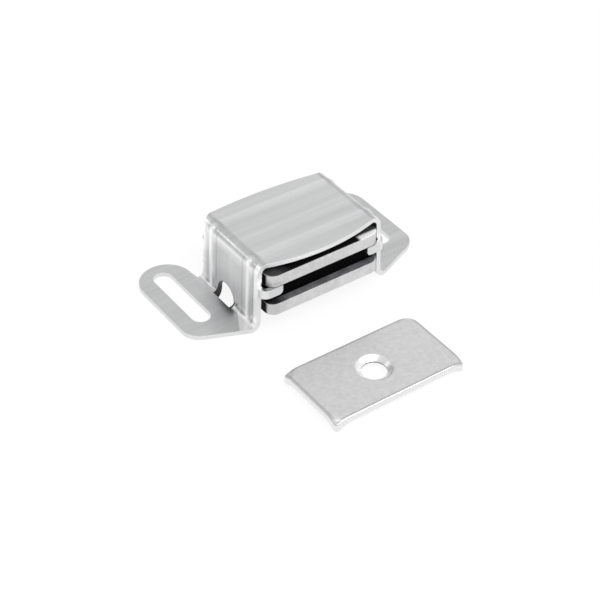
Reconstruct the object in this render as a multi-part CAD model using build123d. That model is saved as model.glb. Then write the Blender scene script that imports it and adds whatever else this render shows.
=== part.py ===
from build123d import *
import os
from math import cos, radians, sin, sqrt, tan

# Magnetic catch: an aluminium case folded from one strip, a floating magnet pack and its strike plate.
# Millimetres, +Z up.  The base plane (underside of the ears) is Z = 0 and the origin lies midway
# between the two screw slots.  X runs along the catch and its working face looks towards -Y.

# ---- folded case: one aluminium strip, ear - wall - cover - wall - ear
sheet = 1.0                # thickness of the strip
bend_inside = 1.0          # inside radius of every fold
case_width = 30.0          # over the two side walls, at the cover
case_height = 15.9         # base plane to top of cover
wall_depth = 19.5          # front edge to back edge of a side wall
wall_splay = 2.0           # degrees that each wall leans out towards its foot
case_set_forward = 7.0     # middle of the walls, in front of the slot centres
front_bow = 1.9            # crown of the cover's front edge beyond the walls
back_bow = 0.8             # crown of the cover's back edge beyond the walls
back_skew = 1.0            # left end of the cover's back edge, behind its right end
foot_flare = 1.2           # how much a wall's back edge widens where it runs into the ear
flare_height = 5.5         # height above the base where that widening starts

# ---- stiffening ribs pressed outwards across the strip's width
rib_width = 2.2
rib_rise = 0.22
rib_set_in = 3.15          # centre line of a rib from the nearer edge of the wall

# ---- ears
ear_reach = 11.65          # width of an ear's flat, outwards from the fold
ear_inner_set = 0.25       # inner side of the full round at the back, out from the fold
ear_corner_radius = 4.5    # outer front corner
ear_taper = 22.8           # degrees between an ear's front edge and the catch's length
slot_width = 4.1
slot_length = 18.6
slot_from_fold = 6.1       # centre line of a slot, outwards from the fold
slot_back_margin = 2.45    # metal left behind the end of a slot

# ---- holes and tabs of the side walls
wall_hole_diameter = 5.8
wall_hole_crown = 4.9      # highest point of the hole; its lower part cuts through the fold
wall_hole_back = 1.4       # centre of the hole behind the middle of the wall
front_tab_height = 2.0
rear_tab_height = 6.0
rear_tab_bend = 0.5        # inside radius; the front tabs are folded as the strip is
tab_gap = 20.8             # between the ends of a facing pair of tabs
tab_corner_radius = 0.9

# ---- magnet pack: ferrite block between two steel pole plates
plate_thickness = 2.8
plate_corner_radius = 2.2
plate_edge_radius = 0.25
plate_tab_set = 0.05       # edge of a plate that lies over tabs, inside their outer faces
magnet_thickness = 4.25
magnet_edge_radius = 0.6
magnet_side_set = 0.3      # magnet's sides inside those of the plates
pack_side_gap = 0.45       # between a plate and the side wall at the cover, with the pack centred
pack_shift = 0.1           # the pack lies this far to the right within its side gaps
pack_lift_gap = 1.3        # between the upper plate and the cover
pack_float = 0.8           # free travel of the pack to the front and to the back

# ---- strike plate
strike_length = 30.9
strike_depth = 17.4
strike_thickness = 1.3
strike_edge_radius = 0.4   # rolled upper edge left by the press tool
spur_reach = 2.5           # length of each bent-down corner, along its diagonal
spur_bend_inside = 1.4
spur_angle = 32.0          # degrees that a corner is bent down
spur_tip_radius = 0.8
screw_hole_diameter = 5.2
countersink_diameter = 7.5
screw_land = 0.35          # straight wall left below the countersink
strike_clear = 15.4        # gap in plan between the front of the walls and the strike plate
strike_shift = -4.3        # middle of the strike plate, along X

# ---- worked out from the above
lean = tan(radians(wall_splay))
foot_half = case_width / 2 + case_height * lean      # outside of a wall at the base plane
ear_start = foot_half + bend_inside                  # where an ear becomes flat
ear_outer = ear_start + ear_reach
ear_back = slot_length / 2 + slot_back_margin
bend_middle = bend_inside + sheet / 2
bend_outside = bend_inside + sheet
wall_front = -case_set_forward - wall_depth / 2
wall_back = -case_set_forward + wall_depth / 2
wall_middle = -case_set_forward
tab_front = wall_front - bend_outside                # outer faces of the front tabs
tab_back = wall_back + rear_tab_bend + sheet         # outer faces of the rear tabs
magnet_front = tab_front + sheet + pack_float
magnet_back = tab_back - sheet - pack_float
tab_top = case_height - sheet - pack_lift_gap - plate_thickness   # the upper plate rests here
plate_width = case_width - 2 * (sheet + pack_side_gap)
magnet_width = plate_width - 2 * magnet_side_set


def middle_line(ear_ends=()):
    """Middle line of the strip seen from the front; it takes in the ears if their ends are given."""
    half_top = case_width / 2 - sheet / 2
    half_foot = foot_half - sheet / 2
    crown = case_height - sheet / 2
    base = sheet / 2
    line = [(-half_foot, base), (-half_top, crown), (half_top, crown), (half_foot, base)]
    for x in ear_ends:
        line = [*line, (x, base)] if x > 0 else [(x, base), *line]
    return FilletPolyline(*line, radius=bend_middle)


def plan_of_cover():
    """Cover and walls seen from above: front and back edges crowned between the upper folds."""
    straight = case_width / 2 - bend_outside
    front = wall_front
    back = wall_back
    left_end = (-straight, back + back_skew)
    outline = [
        Polyline(left_end, (-case_width / 2, back), (-ear_start, back)),
        Polyline((-ear_start, back), (-ear_start, front), (-straight, front)),
        ThreePointArc((-straight, front), (0, front - front_bow), (straight, front)),
        Polyline((straight, front), (ear_start, front), (ear_start, back), (straight, back)),
        ThreePointArc((straight, back), (0, back + back_bow + back_skew / 2), left_end),
    ]
    return make_face(outline)


def side_of_foot():
    """Foot of the walls seen from the side (Y, Z): the back edge sweeps out to meet the ear."""
    high = (wall_back, flare_height)
    low = (wall_back + foot_flare, 0)
    outline = [
        Polyline(high, (wall_front, flare_height), (wall_front, -sheet), (low[0], -sheet), low),
        TangentArc(high, low, tangent=(0, -1)),
    ]
    return make_face(outline)


def plan_of_ear():
    """Right ear seen from above, outwards from the foot of the wall."""
    inner = ear_start + ear_inner_set
    radius = (ear_outer - inner) / 2
    round_start = ear_back - radius
    corner = (ear_outer, wall_front + (ear_outer - ear_start) * tan(radians(ear_taper)))
    outline = [
        Polyline(
            (inner, round_start),
            (ear_start, wall_back + foot_flare),
            (ear_start, wall_front),
            corner,
            (ear_outer, round_start),
        ),
        ThreePointArc((ear_outer, round_start), (ear_outer - radius, ear_back), (inner, round_start)),
    ]
    ear = make_face(outline)
    return fillet(ear.vertices().sort_by_distance((*corner, 0))[0], ear_corner_radius)


def rib(y, surface):
    """Ridge that follows the strip from foot to foot; surface is its height above the middle line."""
    line = Plane.XZ * middle_line()
    across = Plane(origin=line @ 0, x_dir=(0, 1, 0), z_dir=line % 0)
    half = rib_width / 2
    embed = sheet / 5
    section = make_face([
        ThreePointArc((-half, surface), (0, surface + rib_rise), (half, surface)),
        Polyline((half, surface), (half, surface - embed), (-half, surface - embed), (-half, surface)),
    ])
    return Pos(0, y, 0) * sweep(across * section, path=line)


def mirrored(shape):
    """The shape together with its reflection at the other end of the catch."""
    return shape + mirror(shape, about=Plane.YZ)


def folded_tab(root_y, face_y, height, inside):
    """Right-hand tab that leaves the wall at root_y and turns inwards to a middle line at face_y."""
    sections = []
    for z in (tab_top - height, tab_top):
        x = case_width / 2 + (case_height - z) * lean - sheet / 2
        line = FilletPolyline(
            (x, root_y), (x, face_y), (tab_gap / 2, face_y), radius=inside + sheet / 2)
        sections.append(Pos(0, 0, z) * trace(line, line_width=sheet))
    tab = loft(sections, ruled=True)
    tip = tab.edges().filter_by(Axis.Y).group_by(Axis.X)[0]
    return fillet(tip.sort_by(Axis.Z)[0], tab_corner_radius)


def make_case():
    """Strip folded over its whole width, trimmed to outline, then ribbed, pierced and tabbed."""
    strip_end = ear_outer + sheet
    section = trace(middle_line((-strip_end, strip_end)), line_width=sheet)
    strip = extrude(Plane.XZ * section, amount=2 * wall_depth, both=True)
    tall = 2 * case_height
    keep = Pos(0, 0, -sheet) * extrude(plan_of_cover(), amount=tall)
    keep += extrude(Plane.YZ * side_of_foot(), amount=ear_start, both=True)
    keep += mirrored(Pos(0, 0, -sheet) * extrude(plan_of_ear(), amount=tall))
    case = strip & keep

    for y in (wall_front + rib_set_in, wall_back - rib_set_in):
        case += rib(y, sheet / 2)
        case -= rib(y, -sheet / 2)

    slot = Rot(0, 0, 90) * SlotOverall(slot_length, slot_width)
    slot = extrude(slot, amount=bend_outside, both=True)
    case -= mirrored(Pos(ear_start + slot_from_fold, 0, 0) * slot)

    hole = extrude(Plane.YZ * Circle(wall_hole_diameter / 2), amount=bend_outside + bend_inside)
    hole_y = wall_middle + wall_hole_back
    hole_z = wall_hole_crown - wall_hole_diameter / 2
    case -= mirrored(Pos(foot_half - bend_outside, hole_y, hole_z) * hole)

    overlap = sheet / 2
    face = tab_front + sheet / 2
    case += mirrored(folded_tab(wall_front + overlap, face, front_tab_height, bend_inside))
    face = tab_back - sheet / 2
    case += mirrored(folded_tab(wall_back - overlap, face, rear_tab_height, rear_tab_bend))
    return case


def pole_plate(back):
    """Pole plate resting on Z = 0, corners rounded in plan and all edges lightly broken."""
    front = tab_front + plate_tab_set
    depth = back - front
    plate = extrude(RectangleRounded(plate_width, depth, plate_corner_radius), amount=plate_thickness)
    rims = plate.edges().group_by(Axis.Z)
    plate = fillet(rims[0] + rims[-1], plate_edge_radius)
    return Pos(pack_shift, front + depth / 2, 0) * plate


def make_magnet():
    """Ferrite block resting on Z = 0, set so that it can float between front and rear tabs."""
    depth = magnet_back - magnet_front
    block = extrude(RectangleRounded(magnet_width, depth, magnet_edge_radius), amount=magnet_thickness)
    return Pos(pack_shift, magnet_front + depth / 2, 0) * block


def make_strike():
    """Pressed steel plate, four corners turned down as spurs, one countersunk hole."""
    blank = Rectangle(strike_length, strike_depth)
    corners = blank.vertices()
    plate = extrude(chamfer(corners, spur_reach * sqrt(2)), amount=strike_thickness)

    bend = spur_bend_inside + strike_thickness / 2
    angle = radians(spur_angle)
    knee = bend * tan(angle / 2)
    run = 2 * spur_reach
    line = FilletPolyline(
        (-strike_thickness, 0), (knee, 0), (knee + run * cos(angle), -run * sin(angle)), radius=bend)
    flap = trace(line, line_width=strike_thickness)
    spurs = Part()
    for corner in corners:
        point = corner.center()
        outward = Vector(1 if point.X > 0 else -1, 1 if point.Y > 0 else -1).normalized()
        fold = Plane(
            origin=point - outward * spur_reach + Vector(0, 0, strike_thickness / 2),
            x_dir=outward,
            z_dir=outward.cross(Vector(0, 0, 1)),
        )
        spurs += extrude(fold * flap, amount=2 * spur_reach, both=True)
    prism = extrude(fillet(corners, spur_tip_radius), amount=2 * strike_depth, both=True)
    plate += spurs & prism

    rim = plate.faces().sort_by(Axis.Z)[-1].outer_wire().edges()
    plate = plate.fillet(strike_edge_radius, rim)
    screw = Cylinder(screw_hole_diameter / 2, 4 * strike_thickness)
    sink = Cone(
        screw_hole_diameter / 2,
        countersink_diameter / 2,
        strike_thickness - screw_land,
        align=(Align.CENTER, Align.CENTER, Align.MIN),
    )
    plate -= screw
    plate -= Pos(0, 0, screw_land) * sink
    rest = -plate.bounding_box().min.Z
    middle = wall_front - strike_clear - strike_depth / 2
    return Pos(strike_shift, middle, rest) * plate


magnet_base = tab_top - magnet_thickness
parts = {
    "case": make_case(),
    "upper_pole_plate": Pos(0, 0, tab_top) * pole_plate(tab_back - plate_tab_set),
    "magnet": Pos(0, 0, magnet_base) * make_magnet(),
    "lower_pole_plate": Pos(0, 0, magnet_base - plate_thickness) * pole_plate(magnet_back),
    "strike_plate": make_strike(),
}
os.makedirs("parts", exist_ok=True)
for name, solid in parts.items():
    export_step(solid, f"parts/{name}.step")
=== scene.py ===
import bmesh
import bpy
from math import radians
from mathutils import Matrix, Vector


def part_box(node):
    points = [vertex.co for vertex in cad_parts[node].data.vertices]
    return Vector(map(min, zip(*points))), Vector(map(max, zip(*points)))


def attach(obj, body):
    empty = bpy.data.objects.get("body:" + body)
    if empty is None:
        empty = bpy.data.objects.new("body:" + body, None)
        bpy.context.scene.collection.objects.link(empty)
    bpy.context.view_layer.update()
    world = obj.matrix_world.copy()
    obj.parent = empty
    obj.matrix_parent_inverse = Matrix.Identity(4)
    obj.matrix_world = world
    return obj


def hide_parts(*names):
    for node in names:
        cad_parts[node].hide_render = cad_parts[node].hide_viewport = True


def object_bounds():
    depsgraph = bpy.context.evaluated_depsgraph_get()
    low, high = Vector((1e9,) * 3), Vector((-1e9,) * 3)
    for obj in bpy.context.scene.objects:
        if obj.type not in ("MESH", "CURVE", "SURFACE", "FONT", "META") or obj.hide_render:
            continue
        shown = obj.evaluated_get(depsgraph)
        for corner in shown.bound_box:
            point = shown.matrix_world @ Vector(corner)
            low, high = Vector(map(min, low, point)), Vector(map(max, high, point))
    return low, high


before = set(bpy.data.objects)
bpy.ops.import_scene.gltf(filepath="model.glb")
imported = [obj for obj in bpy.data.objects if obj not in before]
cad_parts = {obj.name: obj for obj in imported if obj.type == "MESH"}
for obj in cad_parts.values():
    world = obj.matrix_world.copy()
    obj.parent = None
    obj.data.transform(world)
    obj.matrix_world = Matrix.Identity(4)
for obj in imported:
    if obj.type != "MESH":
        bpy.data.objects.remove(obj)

cad_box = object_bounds()

# ---- View and bench.  The catch and its strike plate lie on a plain white bench, and are seen from
# above the front left corner, from about six lengths of the catch away.
azimuth = radians(-35.31)
elevation = radians(39.27)
roll = radians(0.31)
seen_point = Vector((-0.005516, -0.017618, 0.004))
distance = 0.33768
camera_data = bpy.data.cameras.new("camera")
camera_data.sensor_width = 36.0
camera_data.lens = 100.86
camera_data.clip_start = 0.01
camera = bpy.data.objects.new("camera", camera_data)
turn = (
    Matrix.Rotation(azimuth, 4, "Z")
    @ Matrix.Rotation(radians(90) - elevation, 4, "X")
    @ Matrix.Rotation(roll, 4, "Z")
)
camera.matrix_world = Matrix.Translation(seen_point + distance * turn.col[2].xyz) @ turn
bpy.context.scene.collection.objects.link(camera)
bpy.context.scene.camera = camera


def linear(code):
    """sRGB hex colour as the linear RGBA that Blender's sockets take."""
    channels = [int(code[i:i + 2], 16) / 255 for i in (1, 3, 5)]
    return (*[c / 12.92 if c <= 0.04045 else ((c + 0.055) / 1.055) ** 2.4 for c in channels], 1.0)


def add_node(tree, kind, inputs=(), **settings):
    """Add a node; settings are its properties, inputs are values, hex colours, sockets or nodes.

    An input is known by its name or its number, and a node feeds it from its first output in use.
    """
    made = tree.nodes.new(kind)
    for name, value in settings.items():
        setattr(made, name, value)
    for name, value in dict(inputs).items():
        fed = made.inputs[name] if isinstance(name, int) else next(
            socket for socket in made.inputs if socket.enabled and socket.name == name)
        if isinstance(value, bpy.types.Node):
            value = next(socket for socket in value.outputs if socket.enabled)
        if isinstance(value, bpy.types.NodeSocket):
            tree.links.new(value, fed)
        else:
            fed.default_value = linear(value) if isinstance(value, str) else value
    return made


def empty_material(name):
    """New material with no nodes; returns it and its tree."""
    made = bpy.data.materials.new(name)
    made.use_nodes = True
    made.node_tree.nodes.clear()
    return made, made.node_tree


# White paper that fills the view.  It looks as bright as the surround, and still answers to light:
# a tenth of what is seen of it is its lit surface, and rather more of what metal mirrors, so a faint
# shadow stays round the catch and the hollow under the magnet pack stays dark.
bench_reach = 1.5
seen_glow = 0.90
mirrored_glow = 0.82
paper, tree = empty_material("white bench paper")
matt = add_node(tree, "ShaderNodeBsdfDiffuse", {"Color": "#F4F4F4"})
glow = add_node(tree, "ShaderNodeEmission", {"Color": "#FFFFFF", "Strength": 1.0})
path = add_node(tree, "ShaderNodeLightPath")
mirrored = add_node(tree, "ShaderNodeMath", {0: path.outputs["Is Glossy Ray"], 1: mirrored_glow},
                    operation="MULTIPLY")
through = add_node(tree, "ShaderNodeMath", {0: path.outputs["Is Camera Ray"],
                                            1: path.outputs["Is Transmission Ray"]},
                   operation="MAXIMUM")
share = add_node(tree, "ShaderNodeMath", {0: through, 1: seen_glow, 2: mirrored},
                 operation="MULTIPLY_ADD")
mixed = add_node(tree, "ShaderNodeMixShader", {0: share, 1: matt, 2: glow})
add_node(tree, "ShaderNodeOutputMaterial", {"Surface": mixed})

bm = bmesh.new()
bmesh.ops.create_grid(bm, x_segments=1, y_segments=1, size=bench_reach)
bmesh.ops.translate(bm, verts=bm.verts, vec=(0, 0, cad_box[0][2]))
bench_mesh = bpy.data.meshes.new("bench")
bm.to_mesh(bench_mesh)
bm.free()
bench = bpy.data.objects.new("bench", bench_mesh)
bench.data.materials.append(paper)
bpy.context.scene.collection.objects.link(bench)

# ---- Light.  A plain pale room with three soft boxes: one behind the left end, which the folds of
# the case mirror as thin bright lines, one overhead and a weaker one above the front right.
room = bpy.data.worlds.new("pale room")
room.use_nodes = True
tree = room.node_tree
tree.nodes.clear()
path = add_node(tree, "ShaderNodeLightPath")
direction = add_node(tree, "ShaderNodeTexCoord")
toward = add_node(tree, "ShaderNodeSeparateXYZ", {"Vector": direction.outputs["Generated"]})
# metal sees the room's left side a little darker than its right; matt surfaces see one tone
wall_tone = add_node(tree, "ShaderNodeMapRange", {"Value": toward.outputs["X"], "From Min": -0.5,
                                                  "From Max": 0.3, "To Min": 0.66, "To Max": 0.84},
                     interpolation_type="SMOOTHSTEP")
matt_tone = 0.9
mirrored = add_node(tree, "ShaderNodeMix", {"Factor": path.outputs["Is Glossy Ray"], "A": matt_tone,
                                            "B": wall_tone}, data_type="FLOAT")
brightness = add_node(tree, "ShaderNodeMix", {"Factor": path.outputs["Is Camera Ray"], "A": mirrored,
                                              "B": 1.0}, data_type="FLOAT")
air = add_node(tree, "ShaderNodeBackground", {"Color": "#FFFFFF", "Strength": brightness})
add_node(tree, "ShaderNodeOutputWorld", {"Surface": air})
bpy.context.scene.world = room
bpy.context.scene.view_settings.view_transform = "Standard"

# place and width of each square in metres, and its power in watts
soft_boxes = {
    "soft_box_rear_left": ((-0.34, 0.36, 0.27), 0.10, 0.075),
    "soft_box_overhead": ((0.02, -0.28, 0.48), 0.30, 1.2),
    "soft_box_front_right": ((0.22, -0.30, 0.42), 0.20, 0.4),
}
for name, (place, width, power) in soft_boxes.items():
    lamp = bpy.data.lights.new(name, "AREA")
    lamp.size = width
    lamp.energy = power
    box = bpy.data.objects.new(name, lamp)
    aim = (seen_point - Vector(place)).to_track_quat("-Z", "Y")
    box.matrix_world = Matrix.Translation(place) @ aim.to_matrix().to_4x4()
    bpy.context.scene.collection.objects.link(box)

# ---- Case.  One strip of 1 mm aluminium, rolled bright, pierced in the flat and folded in a press
# to ear, wall, cover, wall and ear; two ribs are pressed out round it and four tabs are turned in.
# Its sheared edges are tumbled round, and it is held by the two screws through its slots.


def broken_edges(node, piece_name, material, width, steepest, wider=None):
    """Merged copy of a CAD node whose edges are rounded over width where the faces turn sharply.

    wider, if given, is a test of a vertex and the width for the rims whose vertices pass it.
    """
    merge_distance, flat_angle, wider_angle, sharp_angle = 2e-6, radians(0.6), radians(20), radians(35)
    bm = bmesh.new()
    bm.from_mesh(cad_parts[node].data)
    bmesh.ops.remove_doubles(bm, verts=bm.verts, dist=merge_distance)
    bmesh.ops.dissolve_limit(bm, angle_limit=flat_angle, verts=bm.verts, edges=bm.edges)
    passes = [(width, steepest, lambda vertex: True)]
    if wider:
        passes.insert(0, (wider[1], wider_angle, wider[0]))
    for offset, angle, chosen in passes:
        rims = [e for e in bm.edges if e.is_manifold and e.calc_face_angle() > angle
                and all(chosen(v) for v in e.verts)]
        bmesh.ops.bevel(bm, geom=rims, offset=offset, offset_type="OFFSET", segments=3, profile=0.5,
                        affect="EDGES", material=-1, clamp_overlap=True, loop_slide=True)
    for face in bm.faces:
        face.smooth = True
    mesh = bpy.data.meshes.new(piece_name)
    bm.to_mesh(mesh)
    bm.free()
    mesh.set_sharp_from_angle(angle=sharp_angle)
    mesh.materials.append(material)
    piece = bpy.data.objects.new(piece_name, mesh)
    bpy.context.scene.collection.objects.link(piece)
    even = piece.modifiers.new("even shading", "WEIGHTED_NORMAL")
    even.keep_sharp = True
    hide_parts(node)
    return piece


# Rolled aluminium: a satin shine with fine streaks along the strip; highlights and shade are
# painted onto the walls, ribs, folds and edges.
aluminium, tree = empty_material("rolled aluminium")
place = add_node(tree, "ShaderNodeTexCoord")
at = add_node(tree, "ShaderNodeSeparateXYZ", {"Vector": place.outputs["Object"]}).outputs
geometry = add_node(tree, "ShaderNodeNewGeometry")
facing = add_node(tree, "ShaderNodeSeparateXYZ", {"Vector": geometry.outputs["Normal"]}).outputs
# rolling lines, really under 0.1 mm apart, drawn 0.45 mm apart so that they show, and the broader
# bands where the strip took the rolls differently; both run along the folded strip
streaks = []
for across, along, detail, roughness in ((0.00045, 0.040, 4.0, 0.6), (0.0022, 0.060, 2.0, 0.5)):
    stretched = add_node(tree, "ShaderNodeMapping", {"Vector": place.outputs["Object"],
                                                     "Scale": (1 / along, 1 / across, 1 / along)})
    streaks.append(add_node(tree, "ShaderNodeTexNoise", {"Vector": stretched, "Scale": 1.0,
                                                         "Detail": detail, "Roughness": roughness}))
lines, bands = streaks
tone = add_node(tree, "ShaderNodeMix", {"Factor": 0.6, "A": lines, "B": bands}, data_type="FLOAT")
rolled = add_node(tree, "ShaderNodeMix", {"Factor": tone, "A": "#BABBBD", "B": "#F0F0F0"},
                  data_type="RGBA")

# where a point of the case is: on a wall with its folds, but not its tabs; on an ear; or on the
# cover, where the painted highlights and shade are much fainter
wall_front, wall_back = -0.01675, 0.00275
tab_clear = 0.0003
ear_start = 0.01656
cover_level = 0.014
side = add_node(tree, "ShaderNodeMath", {0: at["X"]}, operation="SIGN")
outward = add_node(tree, "ShaderNodeMath", {0: facing["X"], 1: side}, operation="MULTIPLY")
on_wall = add_node(tree, "ShaderNodeMapRange", {"Value": outward, "From Min": 0.3, "From Max": 0.8,
                                                "To Min": 0.0, "To Max": 1.0})
sideways = add_node(tree, "ShaderNodeMath", {0: at["X"]}, operation="ABSOLUTE")
in_fold = add_node(tree, "ShaderNodeMath", {0: sideways, 1: ear_start}, operation="LESS_THAN")
off_tabs = add_node(tree, "ShaderNodeMath", {0: at["Y"], 1: wall_front - tab_clear},
                    operation="GREATER_THAN")
for limit in (in_fold, off_tabs):
    on_wall = add_node(tree, "ShaderNodeMath", {0: on_wall, 1: limit}, operation="MULTIPLY")
on_ear = add_node(tree, "ShaderNodeMapRange", {"Value": sideways, "From Min": ear_start,
                                               "From Max": ear_start + 0.001, "To Min": 0.0,
                                               "To Max": 1.0})
on_cover = add_node(tree, "ShaderNodeMapRange", {"Value": facing["Z"], "From Min": 0.6,
                                                 "From Max": 0.9, "To Min": 0.0, "To Max": 0.25})
raised = add_node(tree, "ShaderNodeMath", {0: at["Z"], 1: cover_level}, operation="GREATER_THAN")
on_cover = add_node(tree, "ShaderNodeMath", {0: on_cover, 1: raised}, operation="MULTIPLY")

# the crest of each rib is painted white as a painted highlight, with painted shade just beside it;
# both lie a little behind the rib
rib_set_in = 0.00315
rib_half = 0.0014
drawn_back = 0.00035
from_ribs = []
for rib_y in (wall_front + rib_set_in + drawn_back, wall_back - rib_set_in + drawn_back):
    offset = add_node(tree, "ShaderNodeMath", {0: at["Y"], 1: rib_y}, operation="SUBTRACT")
    from_ribs.append(add_node(tree, "ShaderNodeMath", {0: offset}, operation="ABSOLUTE"))
from_rib = add_node(tree, "ShaderNodeMath", dict(enumerate(from_ribs)), operation="MINIMUM")
crest = add_node(tree, "ShaderNodeMapRange", {"Value": from_rib, "From Min": 0.0,
                                              "From Max": rib_half, "To Min": 1.0, "To Max": 0.0},
                 interpolation_type="SMOOTHSTEP")
marked = add_node(tree, "ShaderNodeMath", {0: on_wall, 1: on_cover}, operation="MAXIMUM")
crest = add_node(tree, "ShaderNodeMath", {0: crest, 1: marked}, operation="MULTIPLY")
# the margins of each wall, outside the ribs, are painted bright too, as painted highlight
wall_half = (wall_back - wall_front) / 2
rib_from_middle = wall_half - rib_set_in
offset = add_node(tree, "ShaderNodeMath", {0: at["Y"], 1: wall_front + wall_half}, operation="SUBTRACT")
margin = add_node(tree, "ShaderNodeMath", {0: offset}, operation="ABSOLUTE")
margin = add_node(tree, "ShaderNodeMapRange", {
    "Value": margin, "From Min": rib_from_middle + 1.2 * rib_half,
    "From Max": rib_from_middle + 1.5 * rib_half, "To Min": 0.0, "To Max": 0.9})
margin = add_node(tree, "ShaderNodeMath", {0: margin, 1: on_wall}, operation="MULTIPLY")
painted_highlight = add_node(tree, "ShaderNodeMath", {0: crest, 1: margin}, operation="MAXIMUM")
# a haze of fine scratches makes these bright parts scatter light as a matt white would
unhazed = add_node(tree, "ShaderNodeMapRange", {"Value": painted_highlight, "From Min": 0.0, "From Max": 1.0,
                                                "To Min": 1.0, "To Max": 0.6})
# each wall is also painted brighter in a band up to where the upper fold begins, fading over the
# fold: a painted highlight
wall_light_from, bend_start, wall_light_to = 0.0120, 0.0142, 0.0147
wall_top_highlight = add_node(tree, "ShaderNodeMapRange", {"Value": at["Z"], "From Min": wall_light_from,
                                              "From Max": bend_start, "To Min": 0.10, "To Max": 0.70})
in_bend = add_node(tree, "ShaderNodeMapRange", {"Value": at["Z"], "From Min": bend_start,
                                                "From Max": wall_light_to, "To Min": 1.0, "To Max": 0.1})
for limit in (in_bend, on_wall):
    wall_top_highlight = add_node(tree, "ShaderNodeMath", {0: wall_top_highlight, 1: limit}, operation="MULTIPLY")
painted_highlight = add_node(tree, "ShaderNodeMath", {0: painted_highlight, 1: wall_top_highlight}, operation="MAXIMUM")
# what is left of the wall between them is painted a shade darker than the cover: painted shade
between = add_node(tree, "ShaderNodeMath", {0: on_wall, 1: 0.06}, operation="MULTIPLY")
rolled = add_node(tree, "ShaderNodeMix", {"Factor": between, "A": rolled, "B": "#878787"},
                  data_type="RGBA")
shade = add_node(tree, "ShaderNodeMix", {"Factor": painted_highlight, "A": rolled, "B": "#FFFFFF"},
                 data_type="RGBA")

# a line of painted shade runs beside each rib on the walls, and another along the cover where each
# upper fold begins, heaviest where it meets a rib
fold_start = 0.0133
heavier = add_node(tree, "ShaderNodeMapRange", {"Value": from_rib, "From Min": 0.0008,
                                                "From Max": 0.0022, "To Min": 1.8, "To Max": 1.0})
shade_lines = []
for measure, middle, half_width, depth, limits in (
        (from_rib, 1.35 * rib_half, 0.0005, 0.30, (on_wall,)),
        (sideways, fold_start, 0.0008, 1.2, (on_cover, heavier))):
    offset = add_node(tree, "ShaderNodeMath", {0: measure, 1: middle}, operation="SUBTRACT")
    beside = add_node(tree, "ShaderNodeMath", {0: offset}, operation="ABSOLUTE")
    painted_shade_line = add_node(tree, "ShaderNodeMapRange", {"Value": beside, "From Min": 0.0,
                                                 "From Max": half_width, "To Min": depth,
                                                 "To Max": 0.0}, interpolation_type="SMOOTHSTEP")
    for limit in limits:
        painted_shade_line = add_node(tree, "ShaderNodeMath", {0: painted_shade_line, 1: limit}, operation="MULTIPLY")
    shade_lines.append(painted_shade_line)
painted_shade_line = add_node(tree, "ShaderNodeMath", dict(enumerate(shade_lines)), operation="MAXIMUM")
shade = add_node(tree, "ShaderNodeMix", {"Factor": painted_shade_line, "A": shade, "B": "#8C8D8F"}, data_type="RGBA")

# the ears are painted a little darker than the rest of the case
ear_darkening = add_node(tree, "ShaderNodeMix", {"Factor": on_ear, "A": "#FFFFFF", "B": "#F5F5F5"},
                  data_type="RGBA")
shade = add_node(tree, "ShaderNodeMix", {"Factor": 1.0, "A": shade, "B": ear_darkening}, data_type="RGBA",
                 blend_type="MULTIPLY")
# at the front of its root the left ear is painted white in a triangle beside the fold: painted light
root_back, root_slope, root_set_in = -0.01155, 0.55, 0.0006
reach = add_node(tree, "ShaderNodeMath", {0: root_back, 1: at["Y"]}, operation="SUBTRACT")
reach = add_node(tree, "ShaderNodeMath", {0: reach, 1: root_slope}, operation="MULTIPLY")
beyond = add_node(tree, "ShaderNodeMath", {0: sideways, 1: ear_start}, operation="SUBTRACT")
ear_root_light = add_node(tree, "ShaderNodeMath", {0: reach, 1: beyond}, operation="SUBTRACT")
ear_root_light = add_node(tree, "ShaderNodeMapRange", {"Value": ear_root_light, "From Min": -0.0001,
                                                "From Max": 0.0001, "To Min": 0.0, "To Max": 1.0})
at_foot = add_node(tree, "ShaderNodeMath", {0: at["X"], 1: root_set_in - ear_start},
                   operation="LESS_THAN")
endways = add_node(tree, "ShaderNodeMath", {0: facing["Y"]}, operation="ABSOLUTE")
on_face = add_node(tree, "ShaderNodeMath", {0: endways, 1: 0.4}, operation="LESS_THAN")
for limit in (at_foot, on_face):
    ear_root_light = add_node(tree, "ShaderNodeMath", {0: ear_root_light, 1: limit}, operation="MULTIPLY")
shade = add_node(tree, "ShaderNodeMix", {"Factor": ear_root_light, "A": shade, "B": "#FFFFFF"},
                 data_type="RGBA")

# sheared edges are painted brighter than the rolled faces, partly their tumbled finish and partly a
# painted highlight along the edges; the faces of the front tabs look the same way as the front
# edges do, and are left out
tab_face = -0.0187
lying = add_node(tree, "ShaderNodeMath", {0: facing["Z"]}, operation="ABSOLUTE")
upright = add_node(tree, "ShaderNodeMath", {0: 1.0, 1: lying}, operation="SUBTRACT")
ear_rim = add_node(tree, "ShaderNodeMath", {0: upright, 1: on_ear}, operation="MULTIPLY")
sheared = add_node(tree, "ShaderNodeMath", {0: endways, 1: ear_rim}, operation="MAXIMUM")
sheared = add_node(tree, "ShaderNodeMapRange", {"Value": sheared, "From Min": 0.45, "From Max": 0.75,
                                                "To Min": 0.0, "To Max": 0.4})
behind_tabs = add_node(tree, "ShaderNodeMath", {0: at["Y"], 1: tab_face}, operation="GREATER_THAN")
sheared = add_node(tree, "ShaderNodeMath", {0: sheared, 1: behind_tabs}, operation="MULTIPLY")
shade = add_node(tree, "ShaderNodeMix", {"Factor": sheared, "A": shade, "B": "#F6F6F6"},
                 data_type="RGBA")
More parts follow.
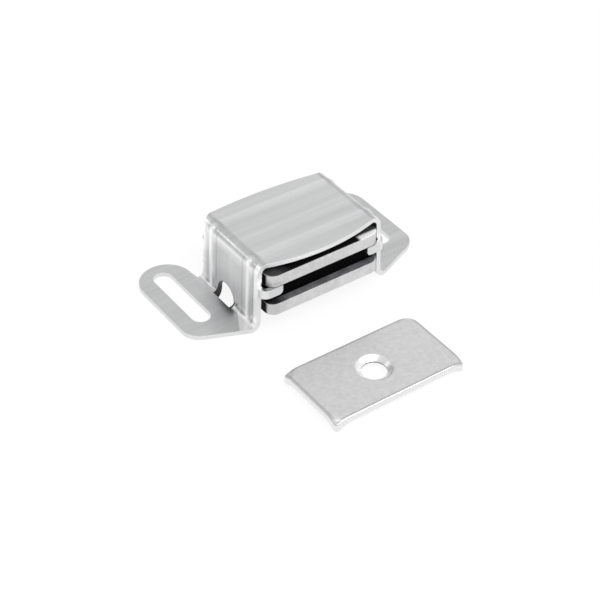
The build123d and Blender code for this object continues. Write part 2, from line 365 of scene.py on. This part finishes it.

# the cut edge of the hole through each lower fold is painted dark, wider at its foot: painted shade
hole_y, hole_z, hole_radius = -0.0056, 0.0020, 0.0029
hole_shade_softness = 0.00005
deep = add_node(tree, "ShaderNodeMath", {0: at["Y"], 1: hole_y}, operation="SUBTRACT")
high = add_node(tree, "ShaderNodeMath", {0: at["Z"], 1: hole_z}, operation="SUBTRACT")
from_axis = add_node(tree, "ShaderNodeCombineXYZ", {"X": deep, "Y": high})
from_axis = add_node(tree, "ShaderNodeVectorMath", {0: from_axis}, operation="LENGTH")
hole_shade_width = add_node(tree, "ShaderNodeMapRange", {"Value": at["Z"], "From Min": 0.0012,
                                                   "From Max": 0.0024, "To Min": 0.00045,
                                                   "To Max": 0.00010})
hole_shade_rim = add_node(tree, "ShaderNodeMath", {0: hole_shade_width, 1: hole_radius}, operation="ADD")
hole_shade = add_node(tree, "ShaderNodeMath", {0: hole_shade_rim, 1: from_axis}, operation="SUBTRACT")
hole_shade = add_node(tree, "ShaderNodeMapRange", {"Value": hole_shade, "From Min": -hole_shade_softness,
                                             "From Max": hole_shade_softness, "To Min": 0.0,
                                             "To Max": 0.95})
hole_shade = add_node(tree, "ShaderNodeMath", {0: hole_shade, 1: in_fold}, operation="MULTIPLY")
shade = add_node(tree, "ShaderNodeMix", {"Factor": hole_shade, "A": shade, "B": "#2E2E30"}, data_type="RGBA")

# cloudy handling marks, about 5 mm across, in the gloss only
clouds = add_node(tree, "ShaderNodeTexNoise", {"Vector": place.outputs["Object"], "Scale": 1 / 0.005,
                                               "Detail": 3.0})
gloss = add_node(tree, "ShaderNodeMapRange", {"Value": clouds, "From Min": 0.3, "From Max": 0.7,
                                              "To Min": 0.27, "To Max": 0.38})
relief = add_node(tree, "ShaderNodeBump", {"Height": lines, "Strength": 0.35, "Distance": 0.00002})
metal = add_node(tree, "ShaderNodeBsdfPrincipled", {
    "Base Color": shade, "Metallic": unhazed, "Roughness": gloss, "Normal": relief})
add_node(tree, "ShaderNodeOutputMaterial", {"Surface": metal})

case = broken_edges("case", "folded_case", aluminium, 0.00025, radians(50))
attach(case, "housing")

# ---- Pole plates.  Two blanks of mild steel, 2.8 mm thick, punched and bright zinc plated; their
# front edges are the working poles.  They hold to the magnet by its own pull.

# Bright zinc: pale working edges with a faint spangle; the faces that lie inside the case are
# painted dark as painted shade.
pole_steel, tree = empty_material("bright zinc on punched steel")
place = add_node(tree, "ShaderNodeTexCoord")
at = add_node(tree, "ShaderNodeSeparateXYZ", {"Vector": place.outputs["Object"]}).outputs
geometry = add_node(tree, "ShaderNodeNewGeometry")
facing = add_node(tree, "ShaderNodeSeparateXYZ", {"Vector": geometry.outputs["Normal"]}).outputs
spangle = add_node(tree, "ShaderNodeTexNoise", {"Vector": place.outputs["Object"],
                                                "Scale": 1 / 0.0012, "Detail": 4.0})
bright = add_node(tree, "ShaderNodeMix", {"Factor": spangle, "A": "#BFBFBF", "B": "#E3E3E3"},
                  data_type="RGBA")
# the flats inside the case are painted dark grey as painted shade, and made duller and not
# metallic with it; the working edges stay bright
flat = add_node(tree, "ShaderNodeMath", {0: facing["Z"]}, operation="ABSOLUTE")
painted_shade = add_node(tree, "ShaderNodeMapRange", {"Value": flat, "From Min": 0.55, "From Max": 0.95,
                                             "To Min": 0.0, "To Max": 1.0})
painted_light_colour = add_node(tree, "ShaderNodeMix", {"Factor": spangle, "A": "#343436", "B": "#7C7C80"},
                  data_type="RGBA")
# above this height, between the pack and the cover, the painted shade is darker, and lighter toward
# the ends
shade_split = 0.012
upper = add_node(tree, "ShaderNodeMath", {0: at["Z"], 1: shade_split}, operation="GREATER_THAN")
sideways = add_node(tree, "ShaderNodeMath", {0: at["X"]}, operation="ABSOLUTE")
deep_shade = add_node(tree, "ShaderNodeMapRange", {"Value": sideways, "From Min": 0.008,
                                                  "From Max": 0.011, "To Min": 1.0, "To Max": 0.65})
deep_shade = add_node(tree, "ShaderNodeMath", {0: deep_shade, 1: upper}, operation="MULTIPLY")
# below it, the painted shade is darker at the left end round the tab, and darkens the edges there a
# little
lower = add_node(tree, "ShaderNodeMath", {0: 1.0, 1: upper}, operation="SUBTRACT")
left_end_shade = add_node(tree, "ShaderNodeMapRange", {"Value": at["X"], "From Min": -0.0110,
                                                 "From Max": -0.0085, "To Min": 0.85, "To Max": 0.0})
left_end_shade = add_node(tree, "ShaderNodeMath", {0: left_end_shade, 1: lower}, operation="MULTIPLY")
left_end_edge_shade = add_node(tree, "ShaderNodeMath", {0: left_end_shade, 1: 0.25}, operation="MULTIPLY")
bright = add_node(tree, "ShaderNodeMix", {"Factor": left_end_edge_shade, "A": bright, "B": "#8A8A8C"},
                  data_type="RGBA")
deep_shade = add_node(tree, "ShaderNodeMath", {0: deep_shade, 1: left_end_shade}, operation="MAXIMUM")
painted_light_colour = add_node(tree, "ShaderNodeMix", {"Factor": deep_shade, "A": painted_light_colour, "B": "#0C0C0D"},
                  data_type="RGBA")
# the right front corner of the upper plate is painted pale: painted light over the painted shade
lit_patch_x, lit_patch_y = 0.0085, -0.0170
lit_patch = add_node(tree, "ShaderNodeMapRange", {"Value": at["X"], "From Min": lit_patch_x - 0.0002,
                                              "From Max": lit_patch_x + 0.0004, "To Min": 0.0,
                                              "To Max": 1.0})
ahead = add_node(tree, "ShaderNodeMapRange", {"Value": at["Y"], "From Min": lit_patch_y,
                                              "From Max": lit_patch_y - 0.0006, "To Min": 0.0,
                                              "To Max": 1.0})
for limit in (ahead, upper):
    lit_patch = add_node(tree, "ShaderNodeMath", {0: lit_patch, 1: limit}, operation="MULTIPLY")
painted_light_colour = add_node(tree, "ShaderNodeMix", {"Factor": lit_patch, "A": painted_light_colour, "B": "#DADADA"},
                  data_type="RGBA")
# the two ends of each plate, close beside the walls, are painted black: painted shade
end_shade = add_node(tree, "ShaderNodeMath", {0: facing["X"]}, operation="ABSOLUTE")
end_shade = add_node(tree, "ShaderNodeMapRange", {"Value": end_shade, "From Min": 0.90, "From Max": 0.98,
                                             "To Min": 0.0, "To Max": 1.0})
painted_light_colour = add_node(tree, "ShaderNodeMix", {"Factor": end_shade, "A": painted_light_colour, "B": "#0C0C0D"},
                  data_type="RGBA")
painted_shade = add_node(tree, "ShaderNodeMath", {0: painted_shade, 1: end_shade}, operation="MAXIMUM")
shade = add_node(tree, "ShaderNodeMix", {"Factor": painted_shade, "A": bright, "B": painted_light_colour}, data_type="RGBA")
gloss = add_node(tree, "ShaderNodeMapRange", {"Value": painted_shade, "From Min": 0.0, "From Max": 1.0,
                                              "To Min": 0.34, "To Max": 0.6})
bare = add_node(tree, "ShaderNodeMapRange", {"Value": painted_shade, "From Min": 0.0, "From Max": 1.0,
                                             "To Min": 1.0, "To Max": 0.0})
metal = add_node(tree, "ShaderNodeBsdfPrincipled", {
    "Base Color": shade, "Metallic": bare, "Roughness": gloss, "Specular IOR Level": 0.1})
add_node(tree, "ShaderNodeOutputMaterial", {"Surface": metal})
for name in ("upper_pole_plate", "lower_pole_plate"):
    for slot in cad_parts[name].material_slots:
        slot.material = pole_steel

# ---- Magnet.  A block of hard ferrite, pressed, sintered and ground on its two flats.  Its pull
# holds it between the two pole plates.

# Sintered ferrite: nearly black and without shine, with a fine grain, drawn about 0.4 mm across.
ferrite, tree = empty_material("sintered ferrite")
place = add_node(tree, "ShaderNodeTexCoord")
grain = add_node(tree, "ShaderNodeTexNoise", {"Vector": place.outputs["Object"],
                                              "Scale": 1 / 0.0004, "Detail": 3.0})
shade = add_node(tree, "ShaderNodeMix", {"Factor": grain, "A": "#010101", "B": "#0C0C0D"},
                 data_type="RGBA")
relief = add_node(tree, "ShaderNodeBump", {"Height": grain, "Strength": 0.5, "Distance": 0.00005})
block = add_node(tree, "ShaderNodeBsdfPrincipled", {
    "Base Color": shade, "Metallic": 0.0, "Roughness": 0.75, "Specular IOR Level": 0.03,
    "Normal": relief})
add_node(tree, "ShaderNodeOutputMaterial", {"Surface": block})
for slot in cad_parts["magnet"].material_slots:
    slot.material = ferrite

# ---- Strike plate.  Steel blanked and pressed in one stroke, 1.3 mm thick, with its four corners
# turned down as spurs and one countersunk hole; barrel tumbled, then zinc plated.

# Tumbled zinc plate: an even pale grey satin with a faint mottle, brighter on its cut sides.
strike_steel, tree = empty_material("tumbled zinc-plated steel")
place = add_node(tree, "ShaderNodeTexCoord")
at = add_node(tree, "ShaderNodeSeparateXYZ", {"Vector": place.outputs["Object"]}).outputs
geometry = add_node(tree, "ShaderNodeNewGeometry")
facing = add_node(tree, "ShaderNodeSeparateXYZ", {"Vector": geometry.outputs["Normal"]}).outputs
mottle = add_node(tree, "ShaderNodeTexNoise", {"Vector": place.outputs["Object"],
                                               "Scale": 1 / 0.0009, "Detail": 3.0})
shade = add_node(tree, "ShaderNodeMix", {"Factor": mottle, "A": "#D0D0D0", "B": "#ECECEC"},
                 data_type="RGBA")
# a fine grey line of painted shade runs where the flat top turns into the rolled edge
low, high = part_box("strike_plate")
middle = [(a + b) / 2 for a, b in zip(low, high)]
half = [(b - a) / 2 for a, b in zip(low, high)]
rolled_edge = 0.00045
line_width = 0.00040
outsets = []
for axis, name in enumerate("XY"):
    offset = add_node(tree, "ShaderNodeMath", {0: at[name], 1: middle[axis]}, operation="SUBTRACT")
    offset = add_node(tree, "ShaderNodeMath", {0: offset}, operation="ABSOLUTE")
    outsets.append(add_node(tree, "ShaderNodeMath", {0: offset, 1: half[axis] - rolled_edge},
                            operation="SUBTRACT"))
outset = add_node(tree, "ShaderNodeMath", dict(enumerate(outsets)), operation="MAXIMUM")
near = add_node(tree, "ShaderNodeMath", {0: outset}, operation="ABSOLUTE")
painted_shade_line = add_node(tree, "ShaderNodeMapRange", {"Value": near, "From Min": 0.0, "From Max": line_width,
                                             "To Min": 0.42, "To Max": 0.0},
                interpolation_type="SMOOTHSTEP")
on_top = add_node(tree, "ShaderNodeMath", {0: at["Z"], 1: high[2] - 2 * rolled_edge},
                  operation="GREATER_THAN")
painted_shade_line = add_node(tree, "ShaderNodeMath", {0: painted_shade_line, 1: on_top}, operation="MULTIPLY")
shade = add_node(tree, "ShaderNodeMix", {"Factor": painted_shade_line, "A": shade, "B": "#8A8A8A"}, data_type="RGBA")
# the countersink's cone is painted brighter than the top round it: a painted highlight
lying = add_node(tree, "ShaderNodeMath", {0: facing["Z"]}, operation="ABSOLUTE")
around = add_node(tree, "ShaderNodeMapRange", {"Value": outset, "From Min": -0.003,
                                               "From Max": -0.002, "To Min": 0.0, "To Max": 1.0})
inside = add_node(tree, "ShaderNodeMath", {0: 1.0, 1: around}, operation="SUBTRACT")
cone_highlight = add_node(tree, "ShaderNodeMapRange", {"Value": lying, "From Min": 0.85, "From Max": 0.95,
                                             "To Min": 0.75, "To Max": 0.0})
cone_highlight = add_node(tree, "ShaderNodeMath", {0: cone_highlight, 1: inside}, operation="MULTIPLY")
shade = add_node(tree, "ShaderNodeMix", {"Factor": cone_highlight, "A": shade, "B": "#FFFFFF"}, data_type="RGBA")
# the sheared sides and the turned-down spurs are bright; the punched land inside the hole is painted
# grey: painted shade
upright = add_node(tree, "ShaderNodeMapRange", {"Value": lying, "From Min": 0.3, "From Max": 0.6,
                                                "To Min": 1.0, "To Max": 0.0})
side = add_node(tree, "ShaderNodeMix", {"Factor": around, "A": "#9A9A9A", "B": "#EAEAEA"},
                data_type="RGBA")
shade = add_node(tree, "ShaderNodeMix", {"Factor": upright, "A": shade, "B": side}, data_type="RGBA")
relief = add_node(tree, "ShaderNodeBump", {"Height": mottle, "Strength": 0.3, "Distance": 0.00003})
metal = add_node(tree, "ShaderNodeBsdfPrincipled", {
    "Base Color": shade, "Metallic": 1.0, "Roughness": 0.36, "Normal": relief})
add_node(tree, "ShaderNodeOutputMaterial", {"Surface": metal})

sink_middle = Vector((middle[0], middle[1], high[2]))
sink_radius = 0.00375
rim_tolerance = 0.00002


def on_sink_rim(vertex):
    """True on the rim of the countersink, at the plate's top."""
    return abs((vertex.co - sink_middle).length - sink_radius) < rim_tolerance


strike = broken_edges("strike_plate", "pressed_strike", strike_steel, 0.00012, radians(40),
                      (on_sink_rim, 0.0004))
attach(strike, "housing")
